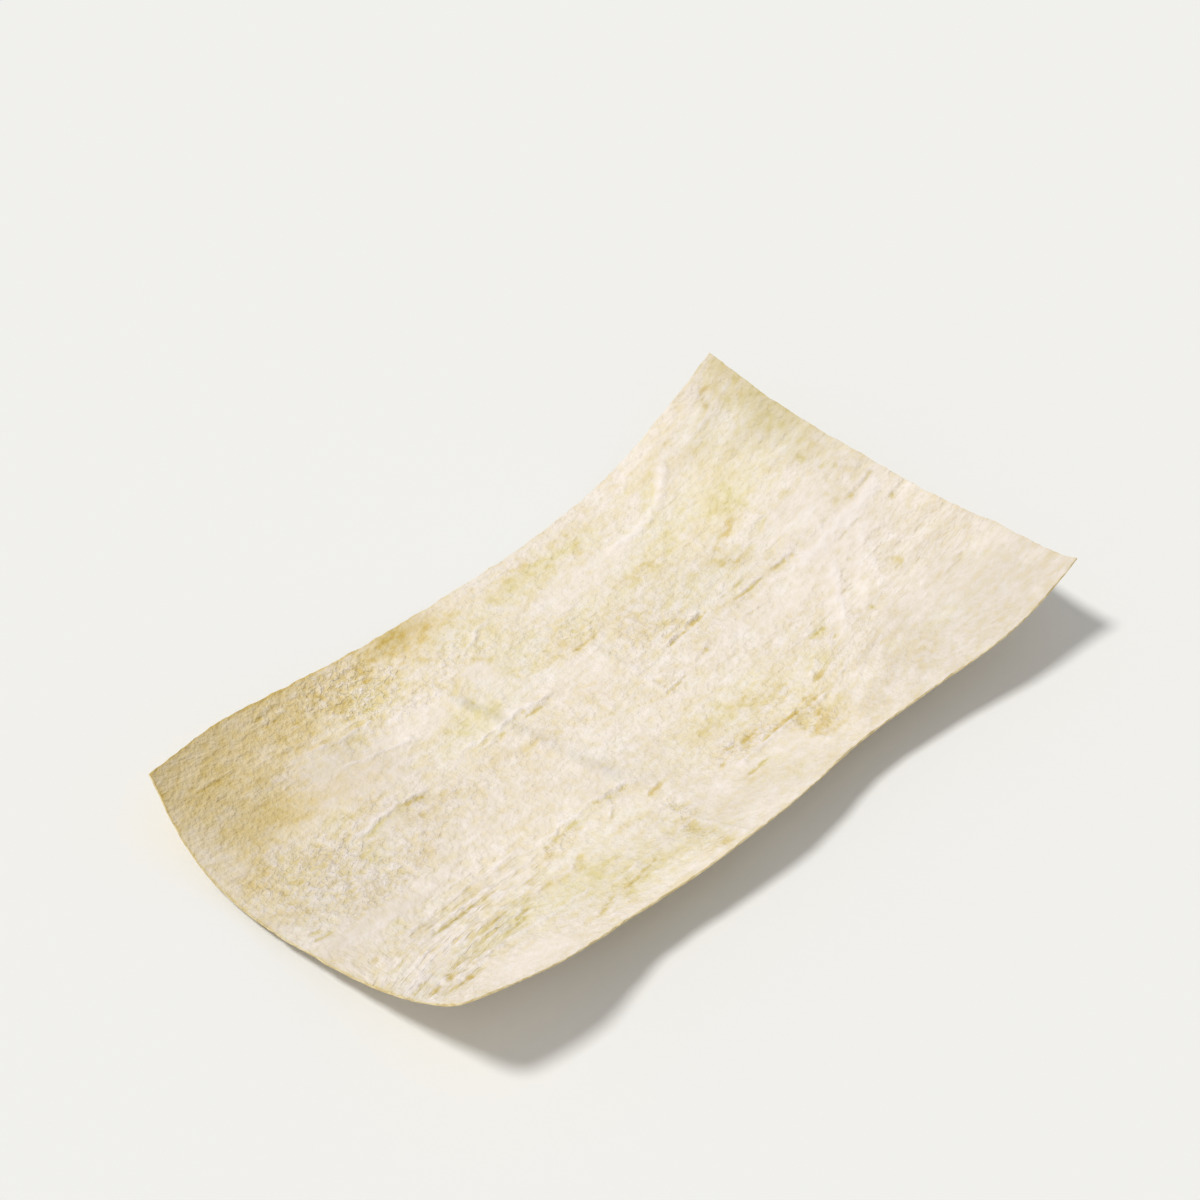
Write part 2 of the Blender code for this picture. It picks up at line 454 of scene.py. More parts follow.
# Fine ridges of raised fibre, and seams, without a stain: from u, v to u, v, width, and height before it
# is scaled
RIDGES = (
    (-86, -16.6, -68, -15.2, 0.6, 0.1),
    (-68, -15.2, -48, -14.2, 0.6, 0.08),
    (-92, -23.2, -80, -19.9, 0.7, 0.1),
    (-80, -19.6, -60, -18.8, 0.6, 0.12),
    (-102, -36.4, -88, -29.4, 0.7, 0.14),
    (-98, -33.6, -86, -27.6, 0.6, 0.1),
    (-94, -39.2, -82, -35.4, 0.6, 0.12),
    (-92, -42, -74, -37.6, 0.7, 0.14),
    (-90, -26.4, -76, -22.4, 0.6, 0.1),
    (-76, -22.4, -58, -21.6, 0.6, 0.1),
    (-80, -28.4, -62, -25.8, 0.6, 0.1),
    (-76, -33.6, -60, -29.6, 0.6, 0.1),
    (-86, -27.6, -70, -24.6, 0.7, 0.1),
    (-84, -32.4, -66, -29.6, 0.6, 0.12),
    (-100, -37, -88, -31, 0.7, 0.12),
    (-84, -38.6, -72, -37, 0.7, 0.14),
    (-72, -37, -46, -38.6, 0.6, 0.1),
    (-64, -28, -42, -29, 0.6, 0.08),
    (-42, -17.6, -26, -16.2, 0.5, 0.12),
    (-26, -16.2, -14, -17.6, 0.5, 0.14),
    (-22, -20, -27, -24, 0.6, 0.1),
    (-44, -41.4, -18, -42.4, 0.6, 0.1),
    (-74, 15.4, -50, 15, 0.5, 0.1),
    (-34, 17.6, -6, 16.4, 0.6, 0.12),
    (-62, 42.4, -44, 40.4, 0.6, 0.1),
    (-58, 33.2, -46, 30.6, 0.6, 0.12),
    (-46, 30.6, -40, 28.6, 0.6, 0.12),
    (-12, 41, -2, 45, 0.6, 0.1),
    (10, 27.6, 18, 24.8, 0.6, 0.1),
    (6, -34.9, 40, -34.8, 0.6, 0.12),
    (24.6, -36, 24.4, -50, 0.5, 0.08),
    (-14.2, -38, -13.8, -59, 0.5, 0.1),
    (40, -27.6, 48, -22.4, 0.6, 0.1),
    (52, -23.4, 54.6, -20.4, 0.6, 0.12),
    (58, -22.6, 66, -15.4, 0.6, 0.08),
    (44, -33.6, 49, -30.6, 0.5, 0.1),
    (76, -20, 88, 0, 1.4, 0.07),
    (60, -22, 74, -4, 1.4, 0.07),
    (66, 2.6, 100, 2.4, 1.2, 0.07),
    (62, 21, 73, 21.3, 0.9, 0.05),
    (79, 50.6, 97, 53, 0.8, 0.07),
    (83, 12, 93, -20, 1.0, 0.06),
    (56, 32, 57, 22, 0.6, 0.06),
    (40, 41.6, 54, 41.6, 1.0, 0.07),
    (54, 41.6, 62, 45.4, 1.0, 0.09),
    (62, 45.4, 69, 51.4, 1.0, 0.1),
    (13.4, 12, 15, -8, 0.6, 0.06),
    (-70, 10, -68.6, -2, 0.7, 0.06),
)

# One ring-shaped spot: u, v, radius of the ring, its width, strength
RING = (84, -16.5, 1.7, 0.9, 0.45)

# Where the skin is crackled into small crumbs, in the terms of the stains
CRACKLE = (
    (-40, 49, 12, 9, 0, 1.0),
    (-48, 55, 8, 5, 0, 0.6),
    (-62, 52, 10, 7, 0, 0.35),
    (-52, 36, 9, 3, 0, 0.5),
    (-32, 36, 9, 4, 0, 0.6),
    (-16, 42, 10, 5, 0, 0.45),
    (-84, 36, 16, 9, 0, 0.3),
    (-88, 15, 18, 9, 0, 0.8),
    (-80, 2, 18, 9, 0, 0.6),
    (-64, 20, 8, 4, 0, 0.5),
    (-52, 6, 12, 8, 0, 0.25),
    (-30, 4, 16, 9, 0, 0.2),
    (28, 14, 14, 6, 0, 0.35),
    (14, -30, 9, 4, 0, 0.7),
    (-13, -34, 3, 5, 0, 0.8),
    (-18, -48, 4, 12, 0, 0.4),
    (-38, -21, 6, 3, 0, 0.5),
    (12, 27, 9, 6, 0, 0.2),
    (30, -24, 6, 5, 0, 0.4),
    (30, -39, 6, 7, 0, 0.7),
    (24, -32, 12, 2.4, 0, 0.3),
)

# Where the fibres stand up in ridges, in the terms of the stains
FIBROUS = (
    (-78, -28, 26, 12, 10, 1.0),
    (-96, -38, 11, 12, 30, 0.9),
    (-58, -20, 16, 8, 0, 0.5),
    (-78, 52, 26, 10, 0, 0.2),
    (34, 8, 40, 6, 2, 0.2),
    (70, 0, 36, 26, 0, 0.1),
    (30, -22, 30, 12, 0, 0.3),
    (20, 30, 30, 10, 0, 0.2),
    (-36, -46, 20, 8, 0, 0.3),
)

# Noise over the grid. Each kind has a grain's length and width in millimetres, the layer of noise that it
# is cut from, and its number of octaves
MOTTLE_GRAIN = (11, 5, 4.4, 5)
FIBRE_GRAIN = (20, 1.4, 1.9, 3)
CREST_GRAIN = (3.2, 2.4, 8.2, 2)
BUMP_GRAIN = (2.0, 1.5, 5.6, 2)
SPECK_GRAIN = (3.2, 1.9, 16.3, 4)
WANDER_GRAIN = (4, 4, 11.3, 2)
OCTAVE_FALL = 0.8
OCTAVE_STEP = 2.0

# Crumbs are sharp crests and round bumps together
CREST_TOP = 0.5
CREST_STEEPNESS = 2
CREST_SHARE = 0.5
BUMP_SHARE = 0.7

# How far the noise moves tears aside in millimetres, how many times as far it moves the lines of painted
# crease shade and the ridges, and how it breaks the tears up
WANDER_REACH = 0.5
CREASE_WANDER = 0.5
RIDGE_WANDER = 2
BREAK_LEVEL = 1.0
BREAK_STEEPNESS = 1.8

# How far the noise moves the edges of patches, and how soft the edges are, as shares of a patch's size
PATCH_SOFTNESS = 0.9
STAIN_SOFTNESS = 1.1
WASH_SOFTNESS = 1.5
SMOOTH_WOBBLE = 0.3
DULL_AND_SHADE_WOBBLE = 0.5
RAGGED_MOTTLE = 0.2
RAGGED_SPECKS = 0.35
WASH_RAGGED = 0.4

# The length over which a tear or another line fades at its ends, and how many of its widths a tear's lip
# stands off it
TEAR_FADE = 2
LINE_FADE = 4
LIP_OFFSET = 1.6

# The share of each mark that smooth skin and golden washes take away
ON_SMOOTH = {
    "golden": 0.6,
    "haze": 0.8,
    "golden_wash": 0.5,
    "haze_wash": 0.7,
    "base": 0.55,
    "mottle": 0.3,
    "crumbs": 0.7,
    "grit": 0.65,
}
UNDER_GOLD = {"dull": 0.5, "crumbs": 0.75, "mottle": 0.4, "speckle": 0.2}

# Heights of the surface's relief in millimetres, and how many times as strong as listed its tears and
# ridges are
FIBRE_HEIGHT = 0.05
FIBROUS_HEIGHT = 0.3
MOTTLE_HEIGHT = 0.2
CRUMB_HEIGHT = 0.24
CRACKLE_HEIGHT = 0.52
WORN_DEPTH = 0.08
TEAR_DEPTH = 0.2
LIP_HEIGHT = 0.5
TEAR_SHARE = 1.3
RIDGE_SHARE = 4.0
LEAST_SKIN = -0.3

# How yellow each kind of mark turns the skin, from 0 for the palest to 1 for the deepest ochre, how soon
# hollows between crumbs count as pits, and the most height in millimetres that changes the colour
YELLOW_BASE = 0.14
YELLOW_MOTTLE = 0.0675
YELLOW_SPECKS = 0.027
YELLOW = {
    "pits": 0.07,
    "raised": -0.28,
    "ridges": -1.3,
    "haze": 0.14,
    "haze_wash": 0.2,
    "golden": 0.126,
    "golden_wash": 0.42,
    "torn": 0.13,
    "lip": -0.1,
    # The cut edge's yellow is a painted glow of light through the thin edge
    "edge": 0.25,
}
PIT_STEEPNESS = 1.6
RAISED_MOST = 0.2

# The cut edge is painted more golden, a painted glow of the light that runs through the thin edge: how
# far in, and how strongly from the left end to the right one
EDGE_GLOW_REACH = 0.9
EDGE_GLOW_MIDDLE = 0.4
EDGE_GLOW_FALL = 1.2
EDGE_GLOW_LEAST = 0.15

# How warm each mark turns the tone, from 0 for olive to 1 for golden, and what darkens the skin: painted
# shade along the creases, and duller skin at tears and golden stains
WARM_BASE = 0.5
WARM = {"mottle": 0.3, "crackle": 0.3, "golden": 0.7, "golden_wash": 1.4, "haze": -0.5, "haze_wash": -0.6}
DULL_AND_SHADE_FROM = {"creases": 1.0, "torn": 0.6, "golden": 0.3}

# How densely each mark stains the skin, and how bare of stains ridges and lips are
STAIN = {"haze": 0.3, "haze_wash": 0.2, "golden": 0.7, "torn": 1.0}
STAIN_GOLDEN_WASH = 0.12
RIDGE_BARE = 4
LIP_BARE = 0.8

# How much rougher and more speckled than elsewhere the skin is where it is crackled and fibrous
GRIT = {"crackle": 0.7, "fibrous": 1.0}
SPECKLE = {"crackle": 0.3, "fibrous": 0.7}

# The material's own fine grain: each kind's length and width in millimetres, its detail and roughness
STREAK_GRAIN = (10, 0.7, 2, 0.5)
FLECK_GRAIN = (2.9, 2.1, 3, 0.5)
GRIT_GRAIN = (1.45, 1.1, 2, 0.5)
CLOUD_GRAIN = (4.4, 3.0, 5, 0.6)
CELL_GRAIN = (2.6, 2.0, 1, 0.55)
RIM_GRAIN = (2.5, 1.5, 4, 0.55)

# The share of threads in the fine grain, on plain and on fibrous skin
LEAST_THREADS = 0.1
MOST_THREADS = 0.7

# The pale net of the crackled skin, and its golden cells
NET_REACH = 0.07
CELL_SHARE = 0.4
YELLOW_CELLS = 0.18

# Stains break up into flecks and threads. A denser stain covers more and is deeper
STAIN_SPREAD = 0.27
FLECK_FROM = 0.53
FLECK_TO = 0.7
FLECK_LEAST = 0.055
FLECK_MOST = 0.3

# Colour and gloss follow the fine grain: what it is read from and to, and what that is spread over
CLOUD_RANGE = (0.25, 0.75, -2.2, 2.2)
FINE_RANGE = (0.3, 0.7, -0.4, 0.4)
ROUGH_RANGE = (0.35, 0.65, 0.58, 0.8)
RIM_TONE_RANGE = (0.35, 0.65)
RIM_ROUGH_RANGE = (0.3, 0.7, 0.55, 0.75)
YELLOW_GRAIN = 0.035
# How far the duller skin and painted shade take the colour toward black
DULL_AND_SHADE_SHARE = 0.11
SHADE_AND_DULL_BLACK = (0.0, 0.0, 0.0, 1.0)
SKIN_SPECULAR = 0.3

# Heights of the fine grain in millimetres
GRIT_HEIGHT = 0.42
NET_HEIGHT = 0.12
FLECK_DEPTH = 0.05

# Colours of the skin as they show in the photo's light, 0 to 255, from the palest to the deepest
WARM_TONES = (
    (251, 239, 229),
    (243, 229, 212),
    (238, 221, 188),
    (233, 212, 163),
    (227, 202, 138),
    (220, 191, 112),
    (208, 173, 86),
    (184, 145, 64),
)
OLIVE_TONES = (
    (249, 239, 228),
    (242, 232, 212),
    (238, 226, 192),
    (231, 218, 167),
    (220, 203, 143),
    (202, 183, 117),
    (172, 153, 90),
    (140, 119, 64),
)
# The rim's golden tones are a painted glow of the light that runs through the thin sheet
RIM_GLOW_TONES = ((240, 220, 170), (216, 192, 136))

# The photo's camera: its focal length in the photo's pixels, how many millimetres a pixel spans where it
# aims, how steeply it looks down, and how the sheet lies turned and shifted in its view. Angles are in
# degrees
PHOTO_SIDE = 1200
FOCAL_PIXELS = 3300
PIXEL_SIZE = 0.2531
SENSOR = 36
CLIP_START = 0.01
CAMERA_PITCH = 45
SHEET_TURN = 45
SHEET_SHIFT = (4, -40)

# Soft light from high on the left, its softness as an angle in degrees, and an even sky
SUN_STRENGTH = 1.957
SUN_SOFTNESS = 12
SUN_FROM = (-0.5, -0.05, 1.0)
SKY_STRENGTH = 0.45
SKY_COLOUR = (0.985, 0.99, 1.0, 1.0)

# The plain floor: its size in metres, its colour in the photo's light, and how many millimetres it lies
# under the sheet
FLOOR_SIZE = 6
FLOOR_COLOUR = (241, 240, 236)
FLOOR_ROUGHNESS = 0.9
FLOOR_SPECULAR = 0.1
FLOOR_DROP = 0.05


def linear(colour):
    """A colour of the photo, 0 to 255, as the linear one that the shaders take, by the sRGB curve."""
    parts = [part / 255 for part in colour]
    return (*[p / 12.92 if p <= 0.04045 else ((p + 0.055) / 1.055) ** 2.4 for p in parts], 1.0)


def ease(x):
    """0 below 0, 1 above 1, and a smooth step between."""
    x = np.clip(x, 0, 1)
    return x * x * (3 - 2 * x)


def bell(x):
    """1 at 0, falling smoothly to nothing on both sides."""
    return np.exp(-x * x)


def stray(stations, share):
    """How far a side strays outward at a share of its way, on a smooth curve through its stations."""
    values = np.array(stations, float)
    spans = len(values) - 1
    first = np.minimum((share * spans).astype(int), spans - 1)
    step = share * spans - first
    before = values[np.maximum(first - 1, 0)]
    start = values[first]
    end = values[first + 1]
    after = values[np.minimum(first + 2, spans)]
    bend = 2 * before - 5 * start + 4 * end - after
    twist = 3 * (start - end) + after - before
    return start + 0.5 * step * (end - before + step * (bend + step * twist))


def grain(u, v, along, across, layer, octaves):
    """Noise over the sheet, about -1 to 1, with grains of a length and width in millimetres."""
    places = zip(np.ravel(u) / along, np.ravel(v) / across)
    values = [noise.fractal((a, b, layer), OCTAVE_FALL, OCTAVE_STEP, octaves) for a, b in places]
    return np.reshape(values, np.shape(u))


def rounded(u, v):
    """Bring the points of each corner's square in, so that the square becomes a quarter of a disc."""
    for (side_u, side_v), radius in CORNER_RADII.items():
        centre_u = side_u * (LENGTH / 2 - radius)
        centre_v = side_v * (WIDTH / 2 - radius)
        along = (u - centre_u) * side_u / radius
        across = (v - centre_v) * side_v / radius
        inside = (along > 0) & (across > 0)
        pull_u = np.sqrt(np.maximum(1 - across * across / 2, 0))
        pull_v = np.sqrt(np.maximum(1 - along * along / 2, 0))
        u = np.where(inside, centre_u + side_u * radius * along * pull_u, u)
        v = np.where(inside, centre_v + side_v * radius * across * pull_v, v)
    return u, v


def cut_places():
    """The flat places u and v of the fine grid's points, trimmed to the sheet's outline."""
    along = np.linspace(-1, 1, CELLS_ALONG + 1)[:, None] * np.ones(CELLS_ACROSS + 1)
    across = np.linspace(-1, 1, CELLS_ACROSS + 1) * np.ones((CELLS_ALONG + 1, 1))
    side = np.where(across > 0, stray(FAR_STRAY, (along + 1) / 2), -stray(NEAR_STRAY, (along + 1) / 2))
    end = np.where(along > 0, stray(RIGHT_STRAY, (across + 1) / 2), -stray(LEFT_STRAY, (across + 1) / 2))
    u = along * LENGTH / 2 + end * along * along
    v = across * WIDTH / 2 + side * across * across
    u, v = rounded(u, v)
    ragged_u = TRIM_RAGGED * grain(u, v, *TRIM_GRAIN_U)
    ragged_v = TRIM_RAGGED * grain(u, v, *TRIM_GRAIN_V)
    return u + ragged_u * along**TRIM_POWER, v + ragged_v * across**TRIM_POWER


def ripple(u, v):
    """Height of the slow ripple, which dies out on the patch that touches the table."""
    reach = np.hypot((u - REST_MIDDLE[0]) / REST_HALF[0], (v - REST_MIDDLE[1]) / REST_HALF[1])
    fade = ease((reach - 1) / (RIPPLE_FADE - 1))
    slant = math.radians(RIPPLE_SLANT)
    first = np.sin(2 * np.pi * (u * math.cos(slant) + v * math.sin(slant)) / RIPPLE_GRAIN[0])
    second = np.cos(2 * np.pi * (v * math.cos(slant) - u * math.sin(slant)) / RIPPLE_GRAIN[1])
    return RIPPLE_HEIGHT * fade * (2 + first + second) / 4


def run_along(u, v, row):
    """Distances along a line and aside from it, to its left below 0, and the line's length."""
    from_u, from_v, to_u, to_v = row[:4]
    length = math.hypot(to_u - from_u, to_v - from_v)
    way_u = (to_u - from_u) / length
    way_v = (to_v - from_v) / length
    along = (u - from_u) * way_u + (v - from_v) * way_v
    aside = (u - from_u) * way_v - (v - from_v) * way_u
    return along, aside, length


def folds(u, v):
    """Height of the soft folds. Each is a ridge with its own reach to its left and to its right."""
    height = np.zeros_like(u)
    for row in FOLDS:
        top, reach_left, reach_right = row[4:]
        along, aside, length = run_along(u, v, row)
        beyond = np.maximum(np.maximum(-along, along - length), 0)
        reach = np.where(aside < 0, reach_left, reach_right)
        height = np.maximum(height, top * bell(beyond / reach_left) * bell(aside / reach))
    return height


def curled(u, v, lift):
    """Roll the flat sheet's points up each curl that they lie on, keeping lengths as they were."""
    x = np.array(u)
    y = np.array(v)
    z = np.array(lift)
    for facing, start, radius in CURLS.values():
        way_x = math.cos(math.radians(facing))
        way_y = math.sin(math.radians(facing))
        past = np.maximum(u * way_x + v * way_y - start, 0)
        slide = radius * np.sin(past / radius) - past
        x += way_x * slide
        y += way_y * slide
        z += radius * (1 - np.cos(past / radius))
    return np.stack((x, y, z), axis=-1)


def across_fibres(u, v):
    """Where each place lies across the fibres, which bend toward the near side."""
    bend = ease((FIBRE_BEND_FROM - v) / FIBRE_BEND_REACH)
    drop = (np.maximum(FIBRE_DROP_FROM - u, 0) / FIBRE_DROP_RUN) ** 2
    rise = ease((u - FIBRE_RISE_FROM) / FIBRE_RISE_RUN)
    return v - bend * (FIBRE_RISE * rise - FIBRE_DROP * drop)


def patches(u, v, rows, wobble, softness=PATCH_SOFTNESS):
    """How strongly a list of oval patches covers each place, with edges that wobble."""
    bare = np.ones_like(u)
    for at_u, at_v, half_length, half_width, slant, strength in rows:
        turn = math.radians(slant)
        along = (u - at_u) * math.cos(turn) + (v - at_v) * math.sin(turn)
        aside = (v - at_v) * math.cos(turn) - (u - at_u) * math.sin(turn)
        reach = np.hypot(along / half_length, aside / half_width)
        bare *= 1 - strength * ease((1 + softness / 2 - reach + wobble) / softness)
    return 1 - bare


def line_ends(along, length, fade):
    """1 between a line's ends and 0 beyond them, with a fade over a length at each."""
    return ease(along / fade + 0.5) * ease((length - along) / fade + 0.5)


def tears(u, v, wander, broken):
    """How strongly the tears cover each place, and the height of the skin lifted beside them."""
    cover = np.zeros_like(u)
    lip = np.zeros_like(u)
    for row in TEARS:
        width, strength = row[4:]
        along, aside, length = run_along(u, v, row)
        aside = aside + wander
        ends = line_ends(along, length, TEAR_FADE)
        cover = np.maximum(cover, TEAR_SHARE * strength * ends * broken * bell(aside / width))
        lip = np.maximum(lip, strength * ends * bell(aside / width + LIP_OFFSET))
    at_u, at_v, radius, width, strength = RING
    off_ring = (np.hypot(u - at_u, v - at_v) + wander - radius) / width
    return np.maximum(cover, strength * broken * bell(off_ring)), lip


def crease_shade_cover(u, v, wander):
    """How strongly the painted shade along the folds and creases covers each place."""
    cover = np.zeros_like(u)
    for row in CREASE_SHADE_LINES:
        width, strength = row[4:]
        along, aside, length = run_along(u, v, row)
        ends = line_ends(along, length, LINE_FADE)
        cover = np.maximum(cover, strength * ends * bell((aside + CREASE_WANDER * wander) / width))
    return cover


def raised(u, v, wander):
    """Height of the fine ridges and seams."""
    height = np.zeros_like(u)
    for row in RIDGES:
        width, top = row[4:]
        along, aside, length = run_along(u, v, row)
        ends = line_ends(along, length, LINE_FADE)
        height = np.maximum(height, top * ends * bell((aside + RIDGE_WANDER * wander) / width))
    return height


def left(share, cover):
    """What is left of something where a cover takes a share of it away."""
    return 1 - share * cover


def weighed(skin, weights):
    """The sum of the skin's fields that a table names, each times its weight."""
    return sum(weight * getattr(skin, name) for name, weight in weights.items())


def crumbs_of(u, across):
    """The noise of the crumbs, sharp crests and round bumps together."""
    crests = CREST_TOP - CREST_STEEPNESS * np.abs(grain(u, across, *CREST_GRAIN))
    return CREST_SHARE * crests + BUMP_SHARE * grain(u, across, *BUMP_GRAIN)


def cut_edge_glow(u):
    """Painted glow of light through the thin cut edge: 1 at the sheet's cut edge and 0 further in than
    its reach, fading toward the right end.
    """
    along = np.arange(u.shape[0])[:, None] * LENGTH / CELLS_ALONG
    across = np.arange(u.shape[1])[None, :] * WIDTH / CELLS_ACROSS
    off_end = np.minimum(along, LENGTH - along)
    off_side = np.minimum(across, WIDTH - across)
    near = ease(1 - np.minimum(off_end, off_side) / EDGE_GLOW_REACH)
    return near * np.clip(EDGE_GLOW_MIDDLE - EDGE_GLOW_FALL * u / LENGTH, EDGE_GLOW_LEAST, 1)


def skin_fields(u, v):
    """The skin's noise, and how strongly each kind of mark covers it, over the grid."""
    skin = SimpleNamespace()
    skin.across = across_fibres(u, v)
    skin.mottle = grain(u, skin.across, *MOTTLE_GRAIN)
    skin.fibres = grain(u, skin.across, *FIBRE_GRAIN)
    skin.specks = grain(u, skin.across, *SPECK_GRAIN)
    skin.crumbs = crumbs_of(u, skin.across)
    wander = WANDER_REACH * grain(u, v, *WANDER_GRAIN)
    ragged = RAGGED_MOTTLE * skin.mottle + RAGGED_SPECKS * skin.specks

    skin.smooth = patches(u, v, SMOOTH, SMOOTH_WOBBLE * skin.mottle)
    skin.golden = patches(u, v, GOLDEN, ragged, STAIN_SOFTNESS)
    skin.haze = patches(u, v, HAZE, ragged, STAIN_SOFTNESS)
    skin.golden_wash = patches(u, v, GOLDEN_WASH, WASH_RAGGED * ragged, WASH_SOFTNESS)
    skin.haze_wash = patches(u, v, HAZE_WASH, WASH_RAGGED * ragged, WASH_SOFTNESS)
    for name in ("golden", "haze", "golden_wash", "haze_wash"):
        setattr(skin, name, getattr(skin, name) * left(ON_SMOOTH[name], skin.smooth))
    skin.crackle = patches(u, v, CRACKLE, ragged) * (1 - skin.smooth)
    skin.fibrous = patches(u, v, FIBROUS, ragged)

    skin.broken = ease(BREAK_LEVEL + BREAK_STEEPNESS * skin.crumbs)
    skin.tear, skin.lip = tears(u, v, wander, skin.broken)
    skin.torn = np.clip(skin.tear, 0, 1)
    skin.creases = crease_shade_cover(u, v, wander)
    skin.ridges = raised(u, v, wander)
    # Darker skin: partly duller skin, partly painted shade where curls turn from the light and along the
    # creases
    skin.dull = patches(u, v, DULL_AND_SHADE, DULL_AND_SHADE_WOBBLE * skin.mottle, WASH_SOFTNESS)
    skin.dull = skin.dull * left(UNDER_GOLD["dull"], skin.golden_wash) + weighed(skin, DULL_AND_SHADE_FROM)

    skin.crumbs = skin.crumbs * left(UNDER_GOLD["crumbs"], skin.golden_wash)
    relief = FIBROUS_HEIGHT * skin.fibrous * skin.fibres
    relief = relief + (CRUMB_HEIGHT + CRACKLE_HEIGHT * skin.crackle) * skin.crumbs
    skin.raised = np.clip(relief, -RAISED_MOST, RAISED_MOST)
    skin.pits = skin.crackle * ease(-PIT_STEEPNESS * skin.crumbs)
    skin.edge = cut_edge_glow(u)
    return skin


def skin_height(skin):
    """The skin's own height over the sheet."""
    mottle = skin.mottle * left(UNDER_GOLD["mottle"], skin.golden_wash)
    crumb_height = CRUMB_HEIGHT * left(ON_SMOOTH["crumbs"], skin.smooth) + CRACKLE_HEIGHT * skin.crackle
    height = MOTTLE_HEIGHT * mottle + crumb_height * skin.crumbs
    height = height + (FIBRE_HEIGHT + FIBROUS_HEIGHT * skin.fibrous) * skin.fibres
    height = height - WORN_DEPTH * np.maximum(skin.golden, skin.haze) - TEAR_DEPTH * skin.tear
    height = height + LIP_HEIGHT * skin.lip * skin.broken + RIDGE_SHARE * skin.ridges
    return np.maximum(height, LEAST_SKIN)


def skin_yellow(skin):
    """How yellow the skin is, from 0 for the palest."""
    mottle = YELLOW_MOTTLE * skin.mottle + YELLOW_SPECKS * skin.specks
    mottle = mottle * left(ON_SMOOTH["mottle"], skin.smooth)
    mottle = mottle * left(UNDER_GOLD["mottle"], skin.golden_wash)
    return YELLOW_BASE * left(ON_SMOOTH["base"], skin.smooth) + mottle + weighed(skin, YELLOW)


def skin_stain(skin):
    """How densely the skin is stained. Ridges and lips stay bare."""
    clean = np.ones_like(skin.smooth)
    for name, share in STAIN.items():
        clean = clean * left(share, getattr(skin, name))
    bare = (1 - np.clip(RIDGE_BARE * skin.ridges, 0, 1)) * left(LIP_BARE, np.clip(skin.lip, 0, 1))
    return (1 - clean + STAIN_GOLDEN_WASH * skin.golden_wash) * bare


def skin_marks(skin):
    """What the skin's material takes from each place, by name."""
    plain = left(ON_SMOOTH["grit"], skin.smooth)
    speckled = plain * left(UNDER_GOLD["speckle"], skin.golden_wash)
    return {
        "yellow": skin_yellow(skin),
        "warm": np.clip(WARM_BASE + weighed(skin, WARM), 0, 1),
        "dull": skin.dull,
        "stain": skin_stain(skin),
        "grit": (1 + weighed(skin, GRIT)) * plain,
        "speckle": (1 + weighed(skin, SPECKLE)) * speckled,
        "crackle": skin.crackle,
        "fibrous": skin.fibrous,
    }


def face_normals(points):
    """Unit normals of a grid of points, upward."""
    normals = np.cross(np.gradient(points, axis=0), np.gradient(points, axis=1))
    return normals / np.linalg.norm(normals, axis=-1, keepdims=True)


def grid_faces(index):
    """The quads of a grid of point numbers, facing up."""
    corners = (index[:-1, :-1], index[1:, :-1], index[1:, 1:], index[:-1, 1:])
    return np.stack([corner.ravel() for corner in corners], axis=1)


def border_of(index):
    """The point numbers round a grid of them, counterclockwise from above."""
    return np.concatenate((index[:-1, 0], index[-1, :-1], index[:0:-1, -1], index[0, :0:-1]))


def sheet_mesh(lower, upper):
    """A closed mesh: a fine upper face, a coarser lower one, and a rim whose faces join the two."""
    upper_index = np.arange(upper[..., 0].size).reshape(upper.shape[:2])
    lower_index = np.arange(lower[..., 0].size).reshape(lower.shape[:2]) + upper_index.size
    over = grid_faces(upper_index).tolist()
    under = grid_faces(lower_index)[:, ::-1].tolist()
    upper_border = border_of(upper_index).tolist()
    lower_border = border_of(lower_index).tolist()
    upper_border.append(upper_border[0])
    lower_border.append(lower_border[0])
    rim = []
    for cell in range(len(lower_border) - 1):
        first = cell * LOWER_STEP
        steps = upper_border[first:first + LOWER_STEP + 1]
        rim.append([lower_border[cell], lower_border[cell + 1]] + steps[::-1])
    mesh = bpy.data.meshes.new(NODE)
    points = np.concatenate((upper.reshape(-1, 3), lower.reshape(-1, 3)))
    mesh.from_pydata(points.tolist(), [], over + under + rim)
    materials = np.zeros(len(mesh.polygons), int)
    materials[len(over) + len(under):] = 1
    mesh.polygons.foreach_set("material_index", materials)
    mesh.update()
    return mesh


def store(mesh, name, values):
    """Keep a value for each grid point on the mesh, on the upper face and the coarser lower one."""
    coarse = values[::LOWER_STEP, ::LOWER_STEP]
    kind = "FLOAT_VECTOR" if values.ndim == 3 else "FLOAT"
    field = "vector" if values.ndim == 3 else "value"
    attribute = mesh.attributes.new(name, kind, "POINT")
    attribute.data.foreach_set(field, np.concatenate((values.ravel(), coarse.ravel())).astype(np.float32))


